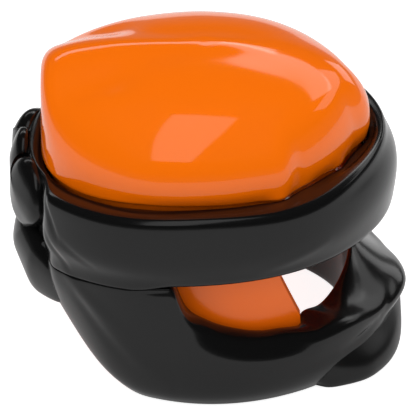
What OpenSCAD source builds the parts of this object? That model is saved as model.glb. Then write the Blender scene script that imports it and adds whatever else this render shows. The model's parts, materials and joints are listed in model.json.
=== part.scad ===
// Hood-shaped basket muzzle: an orange inner cup and lift-off crown, held in
// black moulded wraps that are tied in a knot at the back.
// +Z is up, -Y is the front with the face slot, and the muzzle stands on z = 0.
// An angle called phi starts at the front and grows towards -X.

/* [Cavity] */
// Inside diameter of the orange cup that the snout goes into
cup_bore = 94; // [92:0.5:95]
// Wall of the orange cup
cup_wall = 3; // [2.5:0.5:3.5]
// Height of the cup's top rim above the base
cup_top = 60; // [58:1:62]

/* [Wraps] */
// Gap left between neighbouring mouldings
fit_gap = 0.3; // [0.2:0.05:0.4]
// Radius of the front cavity wall inside the jaw wrap
chin_bore_r = 45; // [43:0.5:46]

/* [Crown] */
// Wall of the lift-off crown
crown_wall = 2.6; // [2:0.2:3.2]
// Height of the crown's apex above the base
crown_top = 100; // [96:1:104]

/* [Pegs] */
// Diameter of the pegs that hold the wraps to the cup
peg_d = 4; // [3:0.5:5]
// Radial slack of a peg in its hole
peg_slack = 0.05; // [0.04:0.01:0.08]

/* [Hidden] */

orange = "darkorange";
black = "dimgray";

cup_r = cup_bore / 2;
cup_outer = cup_r + cup_wall;
wrap_bore = cup_outer + fit_gap;
peg_r = peg_d / 2;
hole_r = peg_r + peg_slack;

step = 3;              // degrees between the rings of a wrap
slot_end = 99;         // phi where the two wraps part and the face slot begins
face_edge = 50;        // phi of the cup's front edges
recess_r = 57.5;       // radius of the wraps under the knot
brow_recess = [140, 155];  // phi where the brow wrap begins to dip, and where the dip is full
jaw_recess = [120, 142];   // the same for the jaw wrap
crown_rows = 13;        // rings from the crown's foot to its apex
crown_step = 5;        // degrees between the crown's meridians
base_rise_from = 110;  // phi where the base edge leaves the ground
base_rise_to = 168;    // phi where it reaches the nape
nape_rise = 28;        // height of the base edge at the nape
jaw_rim = 20.8;         // height of the jaw wrap's rim at the cheeks
chin_top = 8.5;        // height of the layer under the chin

brow_peg_z = 53;
jaw_peg_z = 14;
nape_peg_z = 34;
brow_peg_phi = [-140, -110, -70, 70, 110, 140];
jaw_peg_phi = [-100.5, -76.5, 76.5, 100.5];
nape_peg_phi = [-133.5, 133.5];
core_pin_z = [49, 57];
loop_pin_phi = [-166, 166];
loop_pin_z = 56;
tail_pin_phi = [-160, 160];
tail_pin_z = 34;
peg_end = cup_outer + 4;     // how far out the pegs reach, under the wraps' skin
pin_end = recess_r + 2.4;    // how far out the pins reach, inside the knot
peg_start = cup_r - 0.6;     // where their domed heads stand in the cup

// Stations every 30 degrees from the front (first) to the back (last)
brow_rim_r    = [57, 57.5, 61, 60.5, 64, 64, 62];
brow_bulge_r  = [60.5, 60.5, 62.5, 62, 65.5, 65, 63];
brow_foot_r   = [59.5, 59.5, 60.5, 60.5, 62.5, 62, 60];
brow_rim_z    = [71.5, 71, 69.2, 68.8, 67.6, 66.4, 66.4];
brow_foot_z   = [46, 46.6, 46.3, 45, 43.2, 41, 40];
brow_throat_r = [52.5, 51, 51, 52, 55, 56, 53];
jaw_belly_r   = [60.5, 60.5, 60.5, 61, 60.5, 57.5, 56];
jaw_base_r    = [57, 57, 57, 57, 55, 54, 52];
crown_foot_r  = [51.5, 50, 50, 51, 53.5, 54.2, 52];
crown_eave_z  = [74, 73, 73, 72, 72, 76, 88];
crown_round   = [2.3, 2.2, 2.2, 2.2, 2.2, 2.5, 3.4];
chin_r        = [62.5, 66, 64, 60, 60, 60, 60];

function blend(a, b, t) = a + (b - a) * t;
function ramp(from, to, x) =
    let (t = min(1, max(0, (x - from) / (to - from)))) t * t * (3 - 2 * t);
// A smooth curve through the stations, level at the front and at the back
function station(v, phi) =
    let (
        a = min(5.9999, abs(phi) / 30), i = floor(a), t = a - i,
        p = v[abs(i - 1)], q = v[i], r = v[i + 1], s = v[i + 2 > 6 ? 5 : i + 2]
    )
    q + 0.5 * t * (r - p + t * (2 * p - 5 * q + 4 * r - s + t * (3 * (q - r) + s - p)));
function wrapped(phi) = phi > 180 ? 360 - phi : phi;
function at(phi, p) = [-p[0] * sin(phi), -p[0] * cos(phi), p[1]];

// Dips a radius to the recess that the knot lies in
function dipped(r, phi, zone) = blend(r, min(r, recess_r), ramp(zone[0], zone[1], abs(phi)));
// Height of the base edge: on the ground, then rising to the nape
function base_z(phi) = nape_rise * ramp(base_rise_from, base_rise_to, abs(phi));
// Height of the jaw wrap's outer rim: low at the chin, then up round the slot's end
function jaw_rim_z(phi) =
    let (a = abs(phi), t = min(1, max(0, (a - 62) / (slot_end - 62))))
    a >= slot_end
        ? station(brow_foot_z, phi) - fit_gap
        : blend(12.5, jaw_rim, ramp(0, 45, a))
            + (station(brow_foot_z, slot_end) - fit_gap - jaw_rim) * (1 - pow(1 - pow(t, 2.4), 1 / 2.4));
// Height of the jaw wrap's inner rim
function jaw_lip_z(phi) =
    let (a = abs(phi))
    a >= slot_end
        ? jaw_rim_z(phi)
        : a > face_edge
            ? min(jaw_rim_z(phi) + ramp(68, 85, a), station(brow_foot_z, slot_end) - fit_gap)
            : blend(28.5, jaw_rim, ramp(0, 46, a));

// A closed ring: rings is a list of loops of points, all of one length
module ring_loft(rings) {
    n = len(rings);
    m = len(rings[0]);
    polyhedron(
        points = [for (ring = rings) each ring],
        faces = [
            for (i = [0:n - 1], j = [0:m - 1])
                let (a = i * m, b = ((i + 1) % n) * m, k = (j + 1) % m)
                each [[a + j, b + j, b + k], [a + j, b + k, a + k]]
        ]
    );
}

// An open stretch, closed at its two ends by flat caps
module span_loft(rings) {
    n = len(rings);
    m = len(rings[0]);
    polyhedron(
        points = [for (ring = rings) each ring],
        faces = [
            for (i = [0:n - 2], j = [0:m - 1])
                let (a = i * m, b = a + m, k = (j + 1) % m)
                each [[a + j, b + j, b + k], [a + j, b + k, a + k]],
            [for (j = [0:m - 1]) j],
            [for (j = [m - 1:-1:0]) (n - 1) * m + j]
        ]
    );
}

// Outline of the brow wrap's cross-section at phi, in radius and height
function brow_section(phi) =
    let (
        rim = dipped(station(brow_rim_r, phi), phi, brow_recess),
        bulge = dipped(station(brow_bulge_r, phi), phi, brow_recess),
        foot = dipped(station(brow_foot_r, phi), phi, brow_recess),
        throat = min(station(brow_throat_r, phi), rim - 2.2),
        width = rim - throat,
        top = station(brow_rim_z, phi),
        low = station(brow_foot_z, phi),
        lift = 1.2
    )
    [
        [wrap_bore, low + 2], [wrap_bore, low + 0.8], [foot - 3, low], [foot - 0.8, low + 0.8],
        [foot, low + 3], [bulge, blend(low, top, 0.45)], [bulge - 0.5, blend(low, top, 0.7)],
        [rim, top - 2], [rim - 0.1 * width, top - 0.5], [rim - 0.3 * width, top],
        [blend(rim, throat, 0.7), top + lift * 0.8], [throat + 0.1 * width, top + lift - 0.5],
        [throat, top + lift - 2], [throat, cup_top], [wrap_bore, cup_top - 2]
    ];

// Outline of the jaw wrap's cross-section at phi
function jaw_section(phi) =
    let (
        a = abs(phi),
        front = 1 - ramp(face_edge - 6, face_edge + 1, a),
        nose = 1 - ramp(0, 32, a),
        bore = blend(wrap_bore, chin_bore_r, front),
        base = dipped(station(jaw_base_r, phi), phi, jaw_recess),
        belly = dipped(station(jaw_belly_r, phi), phi, jaw_recess),
        low = base_z(phi),
        rim = jaw_rim_z(phi),
        lip = jaw_lip_z(phi),
        edge = rim - 0.5,
        crest = 1 - ramp(slot_end - 9, slot_end, a)
    )
    [
        [bore, low], [base - 3.5, low], [base - 1, low + 0.8], [blend(base, belly, 0.6), low + 4],
        [belly, blend(low, rim, 0.55)], [belly, blend(low, edge, 0.85)],
        [belly - 0.2 + 3.1 * nose, rim + 3.5 * nose],
        [belly - 2 - 1.5 * nose, rim + 0.6 * crest + 9 * nose],
        [blend(belly, bore, 0.55), blend(rim, lip, 0.6) + crest + 3 * nose],
        [bore + 1.2, lip], [bore, lip - 1.2]
    ];

// Outline of the layer under the chin, outside the jaw wrap
function chin_section(phi) =
    let (
        jaw = jaw_section(phi),
        near = station(jaw_base_r, phi) + fit_gap,
        above = jaw[3][0],
        beyond = blend(above, jaw[4][0], min(1, (chin_top - jaw[3][1]) / (jaw[4][1] - jaw[3][1]))) + 0.8,
        far = max(near + 1.6, blend(near + 1.6, station(chin_r, phi), 1 - ramp(40, 58, abs(phi))))
    )
    [
        [near, 0], [far - 1.5, 0], [max(far, above + 1), 2], [max(far - 0.3, above + 1.2), 5],
        [max(blend(near, far, 0.7) + 1.2, above + 2), chin_top - 0.8],
        [beyond, chin_top], [above + 0.6, 4]
    ];

// A closed dome from stacked rings, with flat ends
module dome_loft(rings) {
    n = len(rings);
    m = len(rings[0]);
    polyhedron(
        points = [for (ring = rings) each ring],
        faces = [
            for (i = [0:n - 2], j = [0:m - 1])
                let (a = i * m, b = a + m, k = (j + 1) % m)
                each [[a + j, b + k, b + j], [a + j, a + k, b + k]],
            [for (j = [m - 1:-1:0]) j],
            [for (j = [0:m - 1]) (n - 1) * m + j]
        ]
    );
}

// Rings of the crown's surface, set in by wall, from the foot up
function crown_rings(wall, foot_z) = [
    for (k = [0:crown_rows]) [
        for (phi = [0:crown_step:359])
            let (
                p = wrapped(phi), n = station(crown_round, p),
                eave = station(crown_eave_z, p), t = max(0, k - 1) / (crown_rows - 1) * 87,
                out = (station(crown_foot_r, p) - wall) * pow(cos(t), 2 / n),
                up = k == 0 ? foot_z : eave + (crown_top - wall - eave) * pow(sin(t), 2 / n)
            )
            at(phi, [out, up])
    ]
];

// One closed skin: down the inside from the apex, across the foot and up the outside
module crown_shell() {
    foot = cup_top + fit_gap;
    inside = crown_rings(crown_wall, foot);
    color(orange)
        dome_loft([for (k = [crown_rows:-1:0]) inside[k], each crown_rings(0, foot)]);
}

// Cuts the radial peg holes, or fills them with pegs
module pegs(angles, z, from, to, r) {
    for (phi = angles)
        translate([0, 0, z])
            rotate([0, 0, -90 - phi])
                translate([from, 0, 0])
                    rotate([0, 90, 0])
                        cylinder(h = to - from, r = r, $fn = 48);
}

module brow_pegs_at(from, to, r) pegs(brow_peg_phi, brow_peg_z, from, to, r);
module jaw_pegs_at(from, to, r) {
    pegs(jaw_peg_phi, jaw_peg_z, from, to, r);
    pegs(nape_peg_phi, nape_peg_z, from, to, r);
}
// Pins of the knot: two for its core, one for each loop and each tail
module knot_pins_at(from, to, r) {
    for (z = core_pin_z) pegs([180], z, from, to, r);
    pegs(loop_pin_phi, loop_pin_z, from, to, r);
    pegs(tail_pin_phi, tail_pin_z, from, to, r);
}

module inner_cup() {
    color(orange) difference() {
        rotate_extrude($fn = 96)
            polygon([
                [cup_r, 1], [cup_outer, 1], [cup_outer, cup_top],
                [cup_outer - 1, cup_top], [cup_r, cup_top - 1]
            ]);
        face_opening();
        nape_cut();
        brow_pegs_at(cup_r - 2, cup_outer + 1, hole_r);
        jaw_pegs_at(cup_r - 2, cup_outer + 1, hole_r);
        knot_pins_at(cup_r - 2, cup_outer + 1, hole_r);
    }
}

// The slope that frees the back of the neck
module nape_cut() {
    rotate([90, 0, -90])
        linear_extrude(height = 2 * cup_outer + 10, center = true)
            polygon([[-15, 1], [-15, -5], [-70, -5], [-70, 46.6]]);
}

// What is cut from the cup for the face: its front, up to a round-cornered brow
module face_opening() {
    corner = 5;
    brow = 48;
    rotate([90, 0, -90])
        linear_extrude(height = 2 * cup_outer + 10, center = true)
            union() {
                polygon([
                    [31, 0], [29.4, 24], [23, 40], [22 , brow - corner],
                    [22 + corner, brow], [80, brow], [80, 0]
                ]);
                translate([22 + corner, brow - corner]) circle(r = corner, $fn = 48);
            }
}

module brow_wrap() {
    color(black) difference() {
        ring_loft([for (phi = [0:step:359]) [for (p = brow_section(wrapped(phi))) at(phi, p)]]);
        brow_pegs_at(cup_outer - 1, peg_end + fit_gap, hole_r);
        knot_pins_at(cup_outer - 1, recess_r + 2, hole_r);
    }
}

module jaw_wrap() {
    color(black) difference() {
        ring_loft([for (phi = [0:step:359]) [for (p = jaw_section(wrapped(phi))) at(phi, p)]]);
        jaw_pegs_at(cup_outer - 1, peg_end + fit_gap, hole_r);
        pegs(tail_pin_phi, tail_pin_z, cup_outer - 1, recess_r + 2, hole_r);
    }
}

module chin_wrap() {
    color(black)
        span_loft([for (phi = [-56:4:56]) [for (p = chin_section(phi)) at(phi, p)]]);
}

// A rounded lump through a few balls, clear of the wraps' recess
module lump(balls) {
    difference() {
        hull()
            for (b = balls)
                translate([b[0], b[1], b[2]]) sphere(r = b[3], $fn = 32);
        translate([0, 0, -1]) cylinder(h = 120, r = recess_r + fit_gap, $fn = 96);
    }
}

module knot_core() {
    color(black) difference() {
        lump([[0, 57, 66, 5.2], [0, 57.3, 46, 5.2]]);
        knot_pins_at(recess_r - 1, pin_end + fit_gap, hole_r);
    }
}

// The right-hand loop and tail; the left ones mirror them
module loop() {
    difference() {
        lump([[-11, 56.6, 66.5, 5.8], [-12.5, 56.5, 53, 6], [-16.5, 54.8, 60, 6.2]]);
        translate([-6.2, 40, 40]) cube([20, 40, 40]);
        translate([-40, 40, 0]) cube([60, 40, 45]);
        knot_pins_at(recess_r - 1, pin_end + fit_gap, hole_r);
    }
}

module tail() {
    difference() {
        lump([[-12, 56, 39, 5.6], [-19, 54, 33, 6], [-28, 48.8, 29, 5.6]]);
        translate([-4, 40, 0]) cube([20, 40, 60]);
        translate([-60, 30, 44.7]) cube([70, 40, 20]);
        knot_pins_at(recess_r - 1, pin_end + fit_gap, hole_r);
    }
}

module knot_loop_right() { color(black) loop(); }
module knot_loop_left() { color(black) mirror([1, 0, 0]) loop(); }
module knot_tail_right() { color(black) tail(); }
module knot_tail_left() { color(black) mirror([1, 0, 0]) tail(); }

module brow_pegs() { color(black) brow_pegs_at(peg_start, peg_end, peg_r); }
module jaw_pegs() { color(black) jaw_pegs_at(peg_start, peg_end, peg_r); }
module knot_pins() { color(black) knot_pins_at(peg_start, pin_end, peg_r); }

crown_shell();
inner_cup();
brow_wrap();
jaw_wrap();
chin_wrap();
knot_core();
knot_loop_right();
knot_loop_left();
knot_tail_right();
knot_tail_left();
brow_pegs();
jaw_pegs();
knot_pins();
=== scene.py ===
"""Hood-shaped basket muzzle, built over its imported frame.

Lengths are in millimetres until a mesh is made, and in metres from there on.
+Z is up, -Y is the front with the face slot, and an angle phi starts at the
front and grows towards -X.
"""

import enum
import json
import logging
import math
from collections.abc import Callable, Sequence
from dataclasses import dataclass, field

import bmesh
import bpy
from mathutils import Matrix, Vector

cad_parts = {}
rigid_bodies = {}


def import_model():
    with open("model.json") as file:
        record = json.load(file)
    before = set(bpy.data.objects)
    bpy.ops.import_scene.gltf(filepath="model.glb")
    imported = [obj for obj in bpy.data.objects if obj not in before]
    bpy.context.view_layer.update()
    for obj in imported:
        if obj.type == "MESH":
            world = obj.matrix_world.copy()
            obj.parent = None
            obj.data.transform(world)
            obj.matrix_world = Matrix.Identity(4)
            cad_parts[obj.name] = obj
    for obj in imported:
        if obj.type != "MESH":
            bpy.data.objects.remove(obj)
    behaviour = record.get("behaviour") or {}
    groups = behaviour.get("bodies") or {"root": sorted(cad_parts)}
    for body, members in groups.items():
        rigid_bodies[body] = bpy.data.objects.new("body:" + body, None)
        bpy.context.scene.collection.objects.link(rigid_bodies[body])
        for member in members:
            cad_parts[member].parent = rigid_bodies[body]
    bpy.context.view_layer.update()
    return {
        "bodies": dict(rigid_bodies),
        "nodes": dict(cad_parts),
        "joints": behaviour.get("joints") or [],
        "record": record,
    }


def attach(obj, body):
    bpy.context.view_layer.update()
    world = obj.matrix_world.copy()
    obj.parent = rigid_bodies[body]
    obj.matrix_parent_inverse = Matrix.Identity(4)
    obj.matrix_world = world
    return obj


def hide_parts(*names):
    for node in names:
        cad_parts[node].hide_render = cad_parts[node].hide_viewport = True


LOG = logging.getLogger("muzzle")
MM = 0.001
WRAPPED_BORE = 50.3  # inside radius of the wraps, around the cup
CUP_TOP = 60.0  # height of the cup's top rim
FIT_GAP = 0.3
SLOT_END = 99.0  # phi where the two wraps meet
STATION_STEP = 30.0  # degrees between the stations of a smooth curve
LAST_STATION = 6
FOLD_R = 60.0  # radius at which the widths of the moulded folds are measured
RECESS_R = 57.5  # radius of the wraps under the knot
BROW_RECESS = (140.0, 155.0)  # phi over which the brow sinks to the recess
JAW_RECESS = (120.0, 142.0)  # phi over which the jaw sinks to it

Point = tuple[float, float, float]
Section = list[tuple[float, float]]
Colour = tuple[float, float, float]


class Side(enum.Enum):
    """The two mirrored sides of the knot, by the sign of their X."""

    RIGHT = -1
    LEFT = 1


class Body(enum.Enum):
    """The rigid bodies that pieces ride on."""

    MUZZLE = "muzzle"
    CROWN = "crown"


def blend(a: float, b: float, t: float) -> float:
    """Returns the value a share t of the way from a to b."""
    return a + (b - a) * t


def ramp(low: float, high: float, x: float) -> float:
    """Returns a smooth step of x, 0 below low and 1 above high."""
    t = min(1.0, max(0.0, (x - low) / (high - low)))
    return t * t * (3 - 2 * t)


def bell(x: float, centre: float, width: float) -> float:
    """Returns a bell curve of x, 1 at its centre."""
    return math.exp(-(((x - centre) / width) ** 2))


def station(values: Sequence[float], phi: float) -> float:
    """Reads a smooth curve through seven stations, 30 degrees apart.

    Args:
        values: The values from the front to the back.
        phi: The angle in degrees, of either sign.

    Returns:
        The value at phi, level at the front and at the back.
    """
    a = min(LAST_STATION - 0.0001, abs(phi) / STATION_STEP)
    i = int(a)
    t = a - i
    p, q, r = values[abs(i - 1)], values[i], values[i + 1]
    s = values[LAST_STATION - 1 if i + 2 > LAST_STATION else i + 2]
    bend = 2 * p - 5 * q + 4 * r - s + t * (3 * (q - r) + s - p)
    return q + 0.5 * t * (r - p + t * bend)


def at(phi: float, radius: float, height: float) -> Point:
    """Returns the point at an angle, a radius and a height, in metres."""
    a = math.radians(phi)
    return (-radius * math.sin(a) * MM, -radius * math.cos(a) * MM, height * MM)


def dipped(radius: float, phi: float, zone: tuple[float, float]) -> float:
    """Returns a radius lowered to the recess that the knot lies in."""
    return blend(radius, min(radius, RECESS_R), ramp(zone[0], zone[1], abs(phi)))


def loft(
    name: str,
    rings: Sequence[Sequence[Point]],
    around: bool = True,
    smoothing: int = 2,
) -> bpy.types.Object:
    """Makes a smooth skin through rings of points.

    Args:
        name: The new object's name.
        rings: Closed rings of points, all of one length, in metres.
        around: Whether the last ring joins the first; if not, both ends are capped.
        smoothing: Levels of subdivision.

    Returns:
        The new object.
    """
    mesh = bpy.data.meshes.new(name)
    work = bmesh.new()
    grid = [[work.verts.new(p) for p in ring] for ring in rings]
    count, size = len(grid), len(grid[0])
    for i in range(count if around else count - 1):
        here, there = grid[i], grid[(i + 1) % count]
        for j in range(size):
            k = (j + 1) % size
            work.faces.new((here[j], there[j], there[k], here[k]))
    if not around:
        work.faces.new(list(reversed(grid[0])))
        work.faces.new(grid[-1])
    bmesh.ops.recalc_face_normals(work, faces=work.faces)
    for face in work.faces:
        face.smooth = True
    work.to_mesh(mesh)
    work.free()
    piece = bpy.data.objects.new(name, mesh)
    bpy.context.scene.collection.objects.link(piece)
    if smoothing:
        modifier = piece.modifiers.new("smooth", "SUBSURF")
        modifier.levels = modifier.render_levels = smoothing
    return piece


class NodeGroups:
    """Shader node groups shared by the finishes, each built once."""

    CLOUD_SCALE = 34.0  # clouds of colour and gloss per metre
    GRAIN_SHARE = 0.35  # height of the grain beside that of the peel
    _built: dict[str, bpy.types.NodeTree] = {}

    @classmethod
    def moulded_skin(cls) -> bpy.types.NodeTree:
        """Builds the group for moulded plastic the first time it is asked for.

        Returns:
            The group, which gives a cloudy colour, an uneven gloss and orange peel.
        """
        if "moulded_skin" in cls._built:
            return cls._built["moulded_skin"]
        tree = bpy.data.node_groups.new("moulded_skin", "ShaderNodeTree")
        ports = tree.interface
        for name, kind, value in (
            ("Colour", "NodeSocketColor", (0.5, 0.5, 0.5, 1)),
            ("Shade", "NodeSocketColor", (0.4, 0.4, 0.4, 1)),
            ("Gloss", "NodeSocketFloat", 0.1),
            ("Gloss Vary", "NodeSocketFloat", 0.05),
            ("Peel Scale", "NodeSocketFloat", 240.0),
            ("Grain Scale", "NodeSocketFloat", 1500.0),
        ):
            ports.new_socket(name, in_out="INPUT", socket_type=kind).default_value = value
        ports.new_socket("Colour", in_out="OUTPUT", socket_type="NodeSocketColor")
        ports.new_socket("Roughness", in_out="OUTPUT", socket_type="NodeSocketFloat")
        ports.new_socket("Height", in_out="OUTPUT", socket_type="NodeSocketFloat")
        new, link = tree.nodes.new, tree.links.new
        enter, leave = new("NodeGroupInput"), new("NodeGroupOutput")
        place = new("ShaderNodeTexCoord")
        clouds, peel, grain = (new("ShaderNodeTexNoise") for _ in range(3))
        clouds.inputs["Scale"].default_value = cls.CLOUD_SCALE
        for noise, detail in ((clouds, 3.0), (peel, 2.0), (grain, 2.0)):
            noise.inputs["Detail"].default_value = detail
            link(place.outputs["Object"], noise.inputs["Vector"])
        link(enter.outputs["Peel Scale"], peel.inputs["Scale"])
        link(enter.outputs["Grain Scale"], grain.inputs["Scale"])
        tint = new("ShaderNodeMix")
        tint.data_type = "RGBA"
        link(clouds.outputs["Fac"], tint.inputs["Factor"])
        link(enter.outputs["Colour"], tint.inputs["A"])
        link(enter.outputs["Shade"], tint.inputs["B"])
        link(tint.outputs["Result"], leave.inputs["Colour"])
        uneven = new("ShaderNodeMath")
        uneven.operation = "MULTIPLY_ADD"
        link(clouds.outputs["Fac"], uneven.inputs[0])
        link(enter.outputs["Gloss Vary"], uneven.inputs[1])
        link(enter.outputs["Gloss"], uneven.inputs[2])
        link(uneven.outputs[0], leave.inputs["Roughness"])
        height = new("ShaderNodeMath")
        height.operation = "MULTIPLY_ADD"
        height.inputs[1].default_value = cls.GRAIN_SHARE
        link(grain.outputs["Fac"], height.inputs[0])
        link(peel.outputs["Fac"], height.inputs[2])
        link(height.outputs[0], leave.inputs["Height"])
        cls._built["moulded_skin"] = tree
        return tree


@dataclass(frozen=True)
class MouldedPlastic:
    """A moulded plastic finish, by its two colours, its gloss and its surface."""

    name: str
    slot: str
    colour: Colour
    shade: Colour
    gloss: float = 0.1
    gloss_vary: float = 0.06
    peel: float = 0.02
    peel_scale: float = 240.0
    grain_scale: float = 1500.0
    ior: float = 1.5

    def material(self) -> bpy.types.Material:
        """Makes the finish's material the first time it is asked for.

        Returns:
            The material.
        """
        found = bpy.data.materials.get(f"moulded_{self.name}")
        if found:
            return found
        made = bpy.data.materials.new(f"moulded_{self.name}")
        made.use_nodes = True
        tree = made.node_tree
        skin = tree.nodes.new("ShaderNodeGroup")
        skin.node_tree = NodeGroups.moulded_skin()
        skin.inputs["Colour"].default_value = (*self.colour, 1)
        skin.inputs["Shade"].default_value = (*self.shade, 1)
        skin.inputs["Gloss"].default_value = self.gloss
        skin.inputs["Gloss Vary"].default_value = self.gloss_vary
        skin.inputs["Peel Scale"].default_value = self.peel_scale
        skin.inputs["Grain Scale"].default_value = self.grain_scale
        bump = tree.nodes.new("ShaderNodeBump")
        bump.inputs["Strength"].default_value = self.peel
        bump.inputs["Distance"].default_value = MM
        plastic = tree.nodes["Principled BSDF"]
        plastic.inputs["IOR"].default_value = self.ior
        tree.links.new(skin.outputs["Colour"], plastic.inputs["Base Color"])
        tree.links.new(skin.outputs["Roughness"], plastic.inputs["Roughness"])
        tree.links.new(skin.outputs["Height"], bump.inputs["Height"])
        tree.links.new(bump.outputs["Normal"], plastic.inputs["Normal"])
        return made

    def dress(self, piece: bpy.types.Object) -> bpy.types.Object:
        """Gives a piece this finish.

        Args:
            piece: The piece to dress.

        Returns:
            The piece.
        """
        piece.data.materials.clear()
        piece.data.materials.append(self.material())
        return piece


WRAP_BLACK = (0.0045, 0.0045, 0.0045)
WRAP_SHADE = (0.0035, 0.0035, 0.0036)

CROWN_ORANGE = MouldedPlastic(
    "crown_orange", "crown_orange", (1.0, 0.176, 0.0008), (0.98, 0.165, 0.0008),
    gloss=0.05, gloss_vary=0.05, peel=0.006,
)
CUP_ORANGE = MouldedPlastic(
    "cup_orange", "cup_orange", (0.98, 0.16, 0.002), (0.93, 0.145, 0.002),
    gloss=0.16, gloss_vary=0.08, peel=0.015,
)
BROW_BLACK = MouldedPlastic(
    "brow_black", "brow_black", WRAP_BLACK, WRAP_SHADE,
    gloss=0.12, gloss_vary=0.07, peel=0.015, ior=1.4,
)
JAW_BLACK = MouldedPlastic(
    "jaw_black", "jaw_black", WRAP_BLACK, WRAP_SHADE,
    gloss=0.12, gloss_vary=0.08, peel=0.02, ior=1.4,
)
CHIN_BLACK = MouldedPlastic(
    "chin_black", "jaw_black", WRAP_BLACK, WRAP_SHADE,
    gloss=0.3, gloss_vary=0.1, peel=0.03, ior=1.4,
)
KNOT_BLACK = MouldedPlastic(
    "knot_black", "knot_black", WRAP_BLACK, WRAP_SHADE,
    gloss=0.14, gloss_vary=0.08, peel=0.02, ior=1.4,
)
PEG_BLACK = MouldedPlastic(
    "peg_black", "peg_black", (0.012, 0.012, 0.012), (0.009, 0.009, 0.009),
    gloss=0.4, gloss_vary=0.1, peel=0.05, ior=1.4,
)


def place(piece: bpy.types.Object, body: Body, *nodes: str) -> bpy.types.Object:
    """Makes a piece ride on a body in place of some nodes, and reports it.

    Args:
        piece: The finished piece.
        body: The body that it moves with.
        nodes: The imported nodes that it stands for.

    Returns:
        The piece.
    """
    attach(piece, body.value)
    if nodes:
        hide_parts(*nodes)
    LOG.info("%s: %d points, on %s", piece.name, len(piece.data.vertices), body.value)
    return piece


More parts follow.
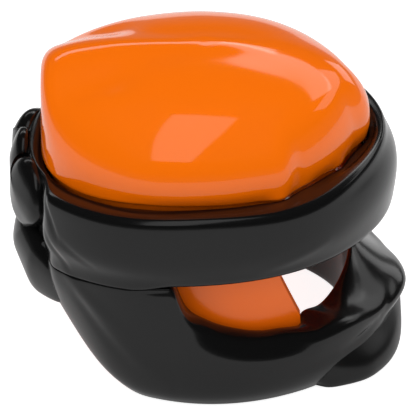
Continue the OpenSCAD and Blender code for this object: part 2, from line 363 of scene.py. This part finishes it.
@dataclass
class Crown:
    """The orange lift-off crown, a hollow shell with a low crest and a scooped front.

    Radii, eave heights and roundness are given at the seven stations from the
    front to the back. The scallops of the lower edge are given by angle, width
    and depth, the lip by how far in and how far up from the edge its points lie,
    and the flank by its points' shares of the way up to the eave.
    """

    top: float = 100.0
    wall: float = 2.6
    foot_z: float = 60.3
    edge_z: float = 68.5
    back_drop: float = 1.8
    rows: int = 44
    spokes: int = 240
    foot_r: tuple[float, ...] = (51.8, 50.4, 50.4, 51.0, 54.0, 55.4, 52.8)
    eave_z: tuple[float, ...] = (74.0, 73.0, 73.0, 72.5, 72.5, 76.0, 88.0)
    round_n: tuple[float, ...] = (2.3, 2.2, 2.2, 2.2, 2.2, 2.5, 3.4)
    apex_eave: float = 72.5
    apex_n: float = 2.2
    scoop_depth: float = 2.5
    corner_out: float = 0.7
    tuck_depth: float = 0.9
    scallops: tuple[tuple[float, float, float], ...] = ((29, 5, 1.0), (51, 6, 0.9), (63.5, 4, 1.3))
    crest_height: float = 0.9
    crest_width: float = 6.0
    valley_depth: float = 1.9
    valley_x: float = 17.0
    valley_width: float = 8.0
    collar_in: float = 2.2
    lip: tuple[tuple[float, float], ...] = (
        (2.0, -1.5), (1.5, -0.5), (0.7, -0.1), (0.2, 0.15), (0.0, 0.6)
    )
    flank: tuple[float, ...] = (0.15, 0.32, 0.5, 0.68, 0.84)
    row_bias: float = 0.9

    def drop(self, phi: float) -> float:
        """Returns how far the lower edge drops towards the back at an angle."""
        return self.back_drop * ramp(110, 140, abs(phi))

    def outer_r(self, phi: float) -> float:
        """Finds the flank's radius, which is less where the front is scooped.

        Args:
            phi: The angle in degrees.

        Returns:
            The radius in millimetres.
        """
        a = abs(phi)
        scoop = ramp(3, 17, a) * (1 - ramp(50, 62, a))
        corner = bell(a, 63, 6)
        return station(self.foot_r, a) - self.scoop_depth * scoop + self.corner_out * corner

    def edge_r(self, phi: float) -> float:
        """Finds the radius of the scalloped lower edge.

        Args:
            phi: The angle in degrees.

        Returns:
            The radius in millimetres.
        """
        a = abs(phi)
        radius = self.outer_r(a) - self.tuck_depth * (1 - ramp(95, 125, a))
        for centre, width, depth in self.scallops:
            radius += depth * bell(a, centre, width)
        return radius

    def height(self, share: float, phi: float) -> float:
        """Finds the height of the dome at a share of its radius.

        Args:
            share: 0 at the apex and 1 at the flank.
            phi: The angle in degrees.

        Returns:
            The height in millimetres.
        """
        settle = ramp(0.05, 0.6, share)
        eave = blend(self.apex_eave, station(self.eave_z, phi), settle)
        n = blend(self.apex_n, station(self.round_n, phi), settle)
        z = eave + (self.top - eave) * max(0.0, 1 - share**n) ** (1 / n)
        a = math.radians(phi)
        reach = station(self.foot_r, phi) * share
        x, y = -reach * math.sin(a), -reach * math.cos(a)
        fade = 1 - ramp(0.82, 1.0, share)
        crest = self.crest_height * bell(x, 0, self.crest_width)
        crest *= ramp(-26, -2, y) * (1 - 0.8 * ramp(14, 42, y))
        valley = self.valley_depth * bell(abs(x), self.valley_x, self.valley_width)
        return z + fade * (crest - valley * ramp(17, 32, y))

    def spoke(self, phi: float, inset: float) -> list[Point]:
        """Makes one meridian, from the foot to near the apex.

        Args:
            phi: The angle in degrees.
            inset: How far inside the outer skin it lies, in millimetres.

        Returns:
            The meridian's points, in metres.
        """
        outer, edge = self.outer_r(phi) - inset, self.edge_r(phi) - inset
        eave = station(self.eave_z, phi)
        low = self.edge_z - self.drop(phi)
        foot = [(edge - self.collar_in, self.foot_z)]
        foot += [(edge - inward, low + up) for inward, up in self.lip]
        flank = [
            (blend(edge, outer, math.sin(math.radians(90 * t))), blend(foot[-1][1], eave, t))
            for t in self.flank
        ]
        dome = []
        whole = station(self.foot_r, phi) - inset
        for k in range(self.rows):
            share = math.cos(math.radians(90 * k / self.rows)) ** self.row_bias
            reach = blend(whole, outer, ramp(0.8, 1.0, share)) * share
            dome.append((reach, self.height(share, phi) - inset))
        return [at(phi, r, z) for r, z in foot + flank + dome]

    def build(self) -> bpy.types.Object:
        """Makes the crown and puts it on its own body.

        Returns:
            The crown.
        """
        angles = [360 * i / self.spokes for i in range(self.spokes)]
        turned = [phi if phi <= 180 else phi - 360 for phi in angles]
        outside = [self.spoke(phi, 0) for phi in turned]
        inside = [self.spoke(phi, self.wall) for phi in turned]
        rings = [[s[k] for s in inside] for k in range(len(inside[0]) - 1, -1, -1)]
        rings += [[s[k] for s in outside] for k in range(len(outside[0]))]
        piece = loft("crown", rings, around=False, smoothing=0)
        CROWN_ORANGE.dress(piece)
        return place(piece, Body.CROWN, "crown_shell")


@dataclass(frozen=True)
class Fold:
    """A moulded fold from one place on the skin to another, out or in by its depth."""

    phi: float
    height: float
    end_phi: float
    end_height: float
    width: float
    depth: float


@dataclass
class Wraps:
    """The black wraps: brow, jaw and chin, with the outlines they share.

    The radii and heights in tuples are given at the seven stations from the
    front to the back.
    """

    step: float = 2.0
    brow_rim_r: tuple[float, ...] = (57, 57.5, 61, 60.5, 64, 64, 62)
    brow_bulge_r: tuple[float, ...] = (60.5, 60.5, 62.5, 62, 65.5, 65, 63)
    brow_foot_r: tuple[float, ...] = (59.5, 59.5, 60.5, 60.5, 62.5, 62, 60)
    brow_rim_z: tuple[float, ...] = (71.5, 71, 69.2, 68.8, 67.6, 66.4, 66.4)
    brow_foot_z: tuple[float, ...] = (46, 46.6, 46.3, 45, 43.2, 41, 40)
    brow_throat_r: tuple[float, ...] = (52.5, 51, 51, 52, 55, 56, 53)
    jaw_belly_r: tuple[float, ...] = (60.5, 60.5, 60.5, 61, 60.5, 57.5, 56)
    jaw_base_r: tuple[float, ...] = (57, 57, 57, 57, 55, 54, 52)
    chin_r: tuple[float, ...] = (62.5, 66, 64, 60, 60, 60, 60)
    jaw_rim: float = 20.8  # the jaw's rim beside the cup
    nose_rim: float = 12.5  # its outer rim at the nose
    nose_lip: float = 28.5  # its inner rim at the nose
    nape_rise: float = 28.0  # its base edge at the nape
    slot_turn: float = 62.0  # phi where its rim starts to climb to the slot's end
    slot_round: float = 2.4  # how square that climb is
    nose_span: float = 32.0  # phi where the nose has run out
    tip_width: float = 14.0
    chin_bore: float = 45.0  # inside radius of the jaw in front of the cup
    face_edge: float = 50.0  # phi of the cup's front edge
    chin_top: float = 8.5
    chin_reach: int = 56  # phi of the chin layer's ends
    brow_lap: float = 1.3  # how far the brow laps the jaw behind the slot
    crown: Crown = field(default_factory=Crown)
    nose_out: float = 3.8
    nose_up: float = 7.4
    side_lift: float = 1.3
    fold_radii: tuple[float, float] = (53.0, 56.0)  # folds fade in between these
    folds: tuple[Fold, ...] = (
        Fold(143, 65, 136, 55, 0.8, -0.6),
        Fold(136, 55, 124, 49, 0.9, -0.4),
        Fold(142, 55, 134, 44, 1.1, -0.4),
        Fold(74, 50, 52, 56, 1.6, 0.35),
        Fold(112, 42, 98, 43.2, 0.9, -0.5),
        Fold(98, 43.2, 84, 42, 1.2, -0.2),
        Fold(136, 42, 112, 24, 2.2, 0.5),
        Fold(132, 34, 114, 17, 1.8, -0.45),
        Fold(126, 30, 104, 12, 2.4, 0.4),
        Fold(128, 50, 92, 49.5, 2.6, 0.25),
        Fold(44, 12.5, 24, 15, 1.4, -0.4),
        Fold(24, 15, 8, 19, 1.2, -0.35),
        Fold(60, 9, 30, 11, 2.2, 0.3),
    )

    def crease(self, phi: float, radius: float, height: float) -> float:
        """Finds how far the moulded folds push a point out, or pull it in.

        Args:
            phi: The point's angle in degrees.
            radius: Its radius in millimetres.
            height: Its height in millimetres.

        Returns:
            The change of its radius, in millimetres.
        """
        arc = math.radians(1) * FOLD_R  # millimetres round the skin for each degree
        push = 0.0
        for fold in self.folds:
            dx, dz = (fold.end_phi - fold.phi) * arc, fold.end_height - fold.height
            px, pz = (abs(phi) - fold.phi) * arc, height - fold.height
            raw = (px * dx + pz * dz) / (dx * dx + dz * dz)
            if not -0.3 < raw < 1.3:
                continue
            t = min(1.0, max(0.0, raw))
            gap = math.hypot(px - t * dx, pz - t * dz)
            if gap < 3 * fold.width:
                fade = 0.35 + 0.65 * math.sin(math.pi * t)
                push += fold.depth * bell(gap, 0, fold.width) * fade
        return push * ramp(*self.fold_radii, radius)

    def fold_in(self, piece: bpy.types.Object) -> bpy.types.Object:
        """Presses the moulded folds into a wrap once it is smooth.

        Args:
            piece: The wrap, with its subdivision not yet applied.

        Returns:
            The wrap, with its final mesh.
        """
        bpy.context.view_layer.update()
        smooth = piece.evaluated_get(bpy.context.evaluated_depsgraph_get())
        mesh = bpy.data.meshes.new_from_object(smooth)
        piece.modifiers.clear()
        piece.data = mesh
        for point in mesh.vertices:
            x, y, z = (value / MM for value in point.co)
            radius = math.hypot(x, y)
            push = self.crease(math.degrees(math.atan2(-x, -y)), radius, z) / radius
            point.co.x *= 1 + push
            point.co.y *= 1 + push
        return piece

    def base_z(self, phi: float) -> float:
        """Returns the height of the base edge, which rises to the nape."""
        return self.nape_rise * ramp(110, 168, abs(phi))

    def rim_z(self, phi: float) -> float:
        """Finds the height of the jaw's outer rim, which climbs round the slot's end.

        Args:
            phi: The angle in degrees.

        Returns:
            The height in millimetres.
        """
        a = abs(phi)
        seam = station(self.brow_foot_z, SLOT_END) - FIT_GAP
        if a >= SLOT_END:
            return station(self.brow_foot_z, a) - FIT_GAP
        t = min(1.0, max(0.0, (a - self.slot_turn) / (SLOT_END - self.slot_turn)))
        rise = 1 - (1 - t**self.slot_round) ** (1 / self.slot_round)
        level = blend(self.nose_rim, self.jaw_rim, ramp(0, 45, a))
        return level + (seam - self.jaw_rim) * rise

    def lip_z(self, phi: float) -> float:
        """Finds the height of the jaw's inner rim.

        Args:
            phi: The angle in degrees.

        Returns:
            The height in millimetres.
        """
        a = abs(phi)
        if a >= SLOT_END + 2:
            return self.rim_z(phi)
        if a > self.face_edge:
            seam = station(self.brow_foot_z, SLOT_END) - FIT_GAP
            return min(self.rim_z(a - 2 * ramp(70, 90, a)) + ramp(68, 85, a), seam)
        return blend(self.nose_lip, self.jaw_rim, ramp(0, 46, a)) + 1.4 * bell(a, 47, 5)

    def brow_section(self, phi: float) -> Section:
        """Draws the brow wrap's outline at an angle.

        Args:
            phi: The angle in degrees.

        Returns:
            The outline's points, as radii and heights in millimetres.
        """
        rim = dipped(station(self.brow_rim_r, phi), phi, BROW_RECESS)
        bulge = dipped(station(self.brow_bulge_r, phi), phi, BROW_RECESS)
        foot = dipped(station(self.brow_foot_r, phi), phi, BROW_RECESS)
        throat = min(station(self.brow_throat_r, phi), rim - 2.2)
        width = rim - throat
        top, low = station(self.brow_rim_z, phi), station(self.brow_foot_z, phi)
        wave = 0.5 * math.sin(math.radians(phi * 2.2 + 40))
        close = ramp(100, 112, abs(phi))
        hem = low - self.brow_lap * close
        lip = min(self.crown.edge_r(phi) - 0.35, throat)
        shelf = self.crown.edge_z - 0.6 - self.crown.drop(phi)
        foot_corner = [
            (WRAPPED_BORE, low + 2), (WRAPPED_BORE, low + 0.6), (foot - 3.4, low + 0.1),
            (foot - blend(1.2, 0.5, close), hem + 0.12),
            (foot - blend(0.2, 0.02, close), hem + blend(1.2, 0.35, close)),
        ]
        face = [
            (foot + 0.2, low + 3.5), (bulge, blend(low, top, 0.35)),
            (bulge + 0.15 + 0.3 * wave, blend(low, top, 0.52)), (bulge - 0.4, blend(low, top, 0.7)),
            (rim + 0.5, top - 3.2), (rim + 0.1, top - 1.4),
        ]
        rim_roll = [
            (rim - 0.1 * width, top - 0.3), (rim - 0.24 * width, top + 0.2),
            (rim - 0.42 * width, top + 0.2), (blend(rim, throat, 0.68), top - 0.1),
        ]
        groove = [
            (throat + 0.1 * width, min(top - 0.5, shelf + 1.6)),
            (blend(throat, lip, 0.6), min(top - 0.9, shelf + 0.7)),
            (lip + 0.4, min(top - 1.2, shelf)), (lip, shelf - 0.9), (lip + 0.2, shelf - 2),
            (max(lip + 0.6, WRAPPED_BORE + 0.4), CUP_TOP + 0.9),
            (WRAPPED_BORE, CUP_TOP), (WRAPPED_BORE, CUP_TOP - 2),
        ]
        return foot_corner + face + rim_roll + groove

    def jaw_section(self, phi: float) -> Section:
        """Draws the jaw wrap's outline at an angle.

        Args:
            phi: The angle in degrees.

        Returns:
            The outline's points, as radii and heights in millimetres.
        """
        a, edge_phi = abs(phi), self.face_edge
        ahead = 1 - ramp(edge_phi - 3.5, edge_phi + 2.5, a)
        bore = blend(WRAPPED_BORE, self.chin_bore, ahead)
        ahead = 1 - ramp(edge_phi - 0.5, edge_phi + 5.5, a)
        inner = blend(WRAPPED_BORE, self.chin_bore, ahead)
        nose, tip = 1 - ramp(0, self.nose_span, a), bell(a, 0, self.tip_width)
        base = dipped(station(self.jaw_base_r, phi), phi, JAW_RECESS)
        belly = dipped(station(self.jaw_belly_r, phi), phi, JAW_RECESS)
        low, rim, lip = self.base_z(phi), self.rim_z(phi), self.lip_z(phi)
        crest = 1 - ramp(SLOT_END - 9, SLOT_END, a)
        flare = dipped(station(self.brow_foot_r, phi), phi, BROW_RECESS) - belly + 0.07
        flare = max(0.0, flare) * ramp(97, 110, a)
        shut = ramp(98, 110, a)
        side = ramp(52, 66, a) * crest
        rim, lip, edge = rim + self.side_lift * side, lip + 1.6 * side, belly - 2.0 * side
        wave = math.sin(math.radians(phi * 3.1 + 20))
        outside = [
            (bore, low), (bore + 1.5, low), (base - 3.5, low), (base - 1, low + 0.5),
            (base - 0.1, low + 1.8), (blend(base, belly, 0.6), low + 4.5),
            (belly - 0.2 + 0.3 * wave + 0.2 * flare, blend(low, rim, 0.38)),
            (belly + 0.6 * flare, blend(low, rim, 0.6)),
            (belly + 0.9 * flare, blend(low, rim, 0.78)),
        ]
        top = [
            (edge - 0.1 + 2.8 * nose + flare, rim - 1.9 + 2.8 * nose),
            (
                edge - blend(0.8, 0.1, shut) + self.nose_out * nose + 1.3 * tip + flare,
                rim - 0.4 * crest + 3.8 * nose,
            ),
            (edge - 2.0 + 2.0 * nose, rim + 0.6 * crest + 5.6 * nose),
            (edge - 3.7, rim + 1.3 * crest + self.nose_up * nose),
        ]
        inside = [
            (blend(inner, edge, 0.4), blend(lip, rim, 0.4) + 1.5 * crest + 2.2 * nose),
            (inner + 1.4, lip + 0.9 * crest), (inner + 0.4, lip + 0.1), (inner, lip - 1.2),
            (blend(bore, inner, 0.8), blend(low, lip, 0.6)),
        ]
        return outside + top + inside

    def chin_section(self, phi: float) -> Section:
        """Draws the outline of the layer under the chin at an angle.

        Args:
            phi: The angle in degrees.

        Returns:
            The outline's points, as radii and heights in millimetres.
        """
        above = self.jaw_section(phi)[5][0]
        fade = 1 - ramp(36, 57, abs(phi))
        sink = 1 - ramp(0, 0.35, fade)
        near = station(self.jaw_base_r, phi) + FIT_GAP - 3.2 * sink
        far = blend(near + 0.8, station(self.chin_r, phi), fade)
        swell, skin, low = far - near, above + blend(0.4, -1.4, sink), 1.6 * sink
        return [
            (near, low), (near + 0.3 * swell, low), (near + 0.7 * swell, low),
            (far - 0.4, low + 0.9), (max(far + 0.1, skin), 2.8), (max(far, skin + 0.1), 5),
            (max(near + 0.8 * swell + 0.8, skin + 0.2), self.chin_top - 1.0),
            (max(near + 0.5 * swell + 0.9, skin + 0.15), self.chin_top + 1.0),
            (max(near + 0.22 * swell + 0.8, skin + 0.1), self.chin_top + 2.9),
            (skin - 0.8, self.chin_top + 4.1), (skin - 0.6, 5),
        ]

    def rings(
        self, section: Callable[[float], Section], angles: Sequence[float]
    ) -> list[list[Point]]:
        """Returns the rings of points of a section swept through some angles."""
        return [[at(phi, r, z) for r, z in section(phi)] for phi in angles]

    def build(self) -> list[bpy.types.Object]:
        """Makes the three wraps and puts them on the muzzle.

        Returns:
            The brow, the jaw and the chin layer.
        """
        turn = [i * self.step for i in range(round(360 / self.step))]
        turn = [phi if phi <= 180 else phi - 360 for phi in turn]
        reach = self.chin_reach
        chin = [phi - reach for phi in range(0, 2 * reach + 1, 2)]
        brow = self.fold_in(loft("brow_band", self.rings(self.brow_section, turn)))
        jaw = self.fold_in(loft("jaw_bowl", self.rings(self.jaw_section, turn)))
        under = loft("chin_layer", self.rings(self.chin_section, chin), around=False)
        return [
            place(BROW_BLACK.dress(brow), Body.MUZZLE, "brow_wrap"),
            place(JAW_BLACK.dress(jaw), Body.MUZZLE, "jaw_wrap"),
            place(CHIN_BLACK.dress(under), Body.MUZZLE, "chin_wrap"),
        ]


@dataclass
class Cup:
    """The orange inner cup, kept from the frame."""

    node: str = "inner_cup"

    def build(self, frame: dict) -> None:
        """Gives the cup its finish."""
        CUP_ORANGE.dress(frame["nodes"][self.node])
        LOG.info("%s: kept from the frame", self.node)


@dataclass
class Lump:
    """A soft moulded lump, swept along a bent spine with lengthwise folds.

    No part of it lies further in than the seat. It looks a short way ahead and
    behind for its direction, and has blunt ends and a rather square section.
    """

    name: str
    node: str
    spine: tuple[Point, ...]
    wide: tuple[float, ...]
    deep: tuple[float, ...]
    fold: float = 0.7
    seat: float = RECESS_R - 0.5
    rows: int = 30
    spokes: int = 36
    look: float = 0.04
    blunt: float = 3.2
    square: float = 0.85

    def along(self, t: float) -> tuple[Vector, float, float]:
        """Follows the spine.

        Args:
            t: The share of the spine, from 0 to 1.

        Returns:
            The place on the spine, and the half width and half depth there.
        """
        last = len(self.spine) - 1
        i = min(int(t * last), last - 1)
        f = ramp(0, 1, t * last - i) * 0.4 + (t * last - i) * 0.6
        spot = Vector(self.spine[i]).lerp(Vector(self.spine[i + 1]), f)
        wide = blend(self.wide[i], self.wide[i + 1], f)
        return spot, wide, blend(self.deep[i], self.deep[i + 1], f)

    def rings(self, side: Side) -> list[list[Point]]:
        """Makes rings of points along the lump.

        Args:
            side: The side of the knot that it lies on.

        Returns:
            The rings, in metres.
        """
        made: list[list[Point]] = []
        for i in range(1, self.rows):
            t = 0.5 - 0.5 * math.cos(math.pi * i / self.rows)
            spot, wide, deep = self.along(t)
            ahead = self.along(min(1, t + self.look))[0]
            behind = self.along(max(0, t - self.look))[0]
            run = (ahead - behind).normalized()
            out = Vector((spot.x, spot.y, 0)).normalized()
            across = run.cross(out).normalized()
            out = across.cross(run).normalized()
            cap = (1 - abs(2 * t - 1) ** self.blunt) ** 0.5
            ring: list[Point] = []
            for j in range(self.spokes):
                p = 2 * math.pi * j / self.spokes
                ridge = 1 + 0.1 * self.fold * math.cos(3 * p + 4 * t)
                c, d = math.cos(p), math.sin(p)
                c = math.copysign(abs(c) ** self.square, c) * wide * cap
                d = math.copysign(abs(d) ** self.square, d) * deep * cap * ridge
                v = spot + across * c + out * d
                r = math.hypot(v.x, v.y)
                if r < self.seat:
                    v.x, v.y = v.x * self.seat / r, v.y * self.seat / r
                ring.append((side.value * v.x * MM, v.y * MM, v.z * MM))
            made.append(ring)
        return made

    def build(self, side: Side) -> bpy.types.Object:
        """Makes the lump and puts it on the muzzle.

        Args:
            side: The side of the knot that it lies on.

        Returns:
            The lump.
        """
        piece = loft(self.name, self.rings(side), around=False, smoothing=1)
        KNOT_BLACK.dress(piece)
        return place(piece, Body.MUZZLE, self.node)


@dataclass
class Knot:
    """The moulded knot at the back: a core, two loops and two tails."""

    core_spine: tuple[Point, ...] = ((0, 58.4, 69), (0, 58.4, 60), (0, 58.4, 46), (0, 58.2, 31))
    core_wide: tuple[float, ...] = (8, 9.5, 8.5, 6)
    core_deep: tuple[float, ...] = (3.4, 4.4, 4.2, 3.2)
    loop_spine: tuple[Point, ...] = (
        (6, 58.2, 47), (12, 57.2, 52), (18, 55.6, 58), (21, 54.4, 66)
    )
    loop_wide: tuple[float, ...] = (7, 11, 12.5, 10)
    loop_deep: tuple[float, ...] = (4.4, 5.2, 5.8, 4.6)
    tail_spine: tuple[Point, ...] = (
        (5, 57.4, 46), (13, 56.0, 38), (23, 52.0, 33), (38, 43.5, 29.5)
    )
    tail_wide: tuple[float, ...] = (7, 9.5, 10.6, 7)
    tail_deep: tuple[float, ...] = (4.6, 5.6, 5.4, 3)

    def build(self) -> list[bpy.types.Object]:
        """Makes the knot's five lumps.

        Returns:
            The core, then a loop and a tail for each side.
        """
        core = Lump("core_lump", "knot_core", self.core_spine, self.core_wide, self.core_deep)
        made = [core.build(Side.LEFT)]
        for side in Side:
            for part, spine, wide, deep in (
                ("loop", self.loop_spine, self.loop_wide, self.loop_deep),
                ("tail", self.tail_spine, self.tail_wide, self.tail_deep),
            ):
                name = f"{part}_{side.name.lower()}"
                made.append(Lump(name, f"knot_{name}", spine, wide, deep).build(side))
        return made


@dataclass
class Fixings:
    """The pegs and pins, kept from the frame."""

    nodes: tuple[str, ...] = ("brow_pegs", "jaw_pegs", "knot_pins")

    def build(self, frame: dict) -> None:
        """Gives the pegs and pins their finish.

        Args:
            frame: The loaded frame.
        """
        for name in self.nodes:
            PEG_BLACK.dress(frame["nodes"][name])
            LOG.info("%s: kept from the frame", name)


@dataclass(frozen=True)
class Lamp:
    """A large soft lamp that faces the object.

    Its spot and size are in metres and its power is in watts. A glossy lamp
    shows only in reflections, and any other one only lights surfaces.
    """

    name: str
    spot: Point
    size: tuple[float, float]
    power: float
    glossy: bool = True

    def hang(self, aim: Point) -> None:
        """Hangs the lamp.

        Args:
            aim: The point that it faces, in metres.
        """
        light = bpy.data.lights.new(self.name, "AREA")
        light.shape = "RECTANGLE"
        light.size, light.size_y = self.size
        light.energy = self.power
        hung = bpy.data.objects.new(self.name, light)
        hung.location = self.spot
        way = Vector(aim) - Vector(self.spot)
        hung.rotation_euler = way.to_track_quat("-Z", "Y").to_euler()
        hung.visible_glossy = self.glossy
        hung.visible_diffuse = not self.glossy
        bpy.context.scene.collection.objects.link(hung)


def from_centre(around: float, up: float, far: float) -> Point:
    """Places a lamp by its direction from the object's middle.

    Args:
        around: The angle in degrees round from +X towards +Y.
        up: The angle in degrees above the level.
        far: The distance in metres.

    Returns:
        The place, in metres.
    """
    a, e = math.radians(around), math.radians(up)
    flat = far * math.cos(e)
    return (flat * math.cos(a), flat * math.sin(a), 0.07 + far * math.sin(e))


@dataclass
class Studio:
    """A pale floor, a soft white surround and large soft lamps.

    In gloss the surround glows from its level value down to its overhead one at
    glow_top. The floor's two glows are for light and for the camera.
    """

    target: Point = (0.0, -0.0003, 0.0408)
    distance: float = 2.219
    lens: float = 600.0
    sensor: float = 36.0
    elevation: float = 28.6
    far_clip: float = 50.0
    aim: Point = (0.0, 0.0, 0.06)
    surround_light: float = 0.7
    glow_level: float = 0.2
    glow_overhead: float = 0.03
    glow_top: float = 0.25
    floor_radius: float = 4.0
    floor_drop: float = 0.0002
    floor_pale: float = 0.6
    floor_glow: tuple[float, float] = (0.3, 0.9)
    lamps: tuple[Lamp, ...] = (
        Lamp("top_fill", (-0.4, 0.0, 1.6), (2.4, 2.4), 14, glossy=False),
        Lamp("key", from_centre(165, 68, 1.3), (0.55, 1.5), 3.3),
        Lamp("far_strip", from_centre(10, 34, 1.6), (1.2, 0.2), 1.5),
        Lamp("front_strip", from_centre(-28, 38, 1.6), (1.2, 0.3), 1.9),
        Lamp("low_strip", from_centre(-52, 28, 1.6), (1.0, 0.34), 1.2),
        Lamp("nose_strip", from_centre(-32, 11, 1.6), (0.5, 0.3), 0.6),
    )

    def surround(self) -> None:
        """Sets the world: evenly pale, but dim overhead where it shows in gloss."""
        world = bpy.data.worlds.new("studio")
        bpy.context.scene.world = world
        world.use_nodes = True
        tree = world.node_tree
        light = tree.nodes["Background"]
        where = tree.nodes.new("ShaderNodeTexCoord")
        split = tree.nodes.new("ShaderNodeSeparateXYZ")
        steps = tree.nodes.new("ShaderNodeValToRGB")
        level, overhead = steps.color_ramp.elements
        level.position, overhead.position = 0.0, self.glow_top
        level.color = (*(self.glow_level,) * 3, 1)
        overhead.color = (*(self.glow_overhead,) * 3, 1)
        rays = tree.nodes.new("ShaderNodeLightPath")
        choose = tree.nodes.new("ShaderNodeMix")
        choose.data_type = "RGBA"
        choose.inputs["A"].default_value = (*(self.surround_light,) * 3, 1)
        tree.links.new(where.outputs["Generated"], split.inputs["Vector"])
        tree.links.new(split.outputs["Z"], steps.inputs["Fac"])
        tree.links.new(steps.outputs["Color"], choose.inputs["B"])
        tree.links.new(rays.outputs["Is Glossy Ray"], choose.inputs["Factor"])
        tree.links.new(choose.outputs["Result"], light.inputs["Color"])

    def floor(self) -> None:
        """Lays the pale floor, which glows more where the camera sees it."""
        mesh = bpy.data.meshes.new("floor")
        work = bmesh.new()
        bmesh.ops.create_circle(work, cap_ends=True, segments=96, radius=self.floor_radius)
        work.to_mesh(mesh)
        work.free()
        ground = bpy.data.objects.new("floor", mesh)
        ground.location.z = -self.floor_drop
        pale = bpy.data.materials.new("floor_pale")
        pale.use_nodes = True
        paint = pale.node_tree.nodes["Principled BSDF"]
        paint.inputs["Base Color"].default_value = (*(self.floor_pale,) * 3, 1)
        paint.inputs["Roughness"].default_value = 0.9
        paint.inputs["Specular IOR Level"].default_value = 0.0
        paint.inputs["Emission Color"].default_value = (1, 1, 1, 1)
        rays = pale.node_tree.nodes.new("ShaderNodeLightPath")
        lift = pale.node_tree.nodes.new("ShaderNodeMapRange")
        lift.inputs["To Min"].default_value, lift.inputs["To Max"].default_value = self.floor_glow
        pale.node_tree.links.new(rays.outputs["Is Camera Ray"], lift.inputs["Value"])
        pale.node_tree.links.new(lift.outputs["Result"], paint.inputs["Emission Strength"])
        mesh.materials.append(pale)
        bpy.context.scene.collection.objects.link(ground)

    def camera(self) -> None:
        """Sets the camera on the muzzle's right, a little above it."""
        view = bpy.data.cameras.new("camera")
        view.lens = self.lens
        view.sensor_width = self.sensor
        view.clip_end = self.far_clip
        seen = bpy.data.objects.new("camera", view)
        e = math.radians(self.elevation)
        back = Vector((-math.cos(e), 0, math.sin(e)))
        seen.location = Vector(self.target) + back * self.distance
        seen.rotation_euler = (-back).to_track_quat("-Z", "Y").to_euler()
        bpy.context.scene.collection.objects.link(seen)
        bpy.context.scene.camera = seen

    def build(self) -> None:
        """Sets up the camera, the floor, the surround and the lamps."""
        self.camera()
        self.floor()
        self.surround()
        for lamp in self.lamps:
            lamp.hang(self.aim)
        bpy.context.scene.view_settings.view_transform = "Standard"


def main() -> None:
    """Builds the muzzle piece by piece over its frame."""
    logging.basicConfig(level=logging.INFO, format="%(message)s")
    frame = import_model()
    Studio().build()
    Crown().build()
    Cup().build(frame)
    Wraps().build()
    Knot().build()
    Fixings().build(frame)


if __name__ == "__main__":
    main()
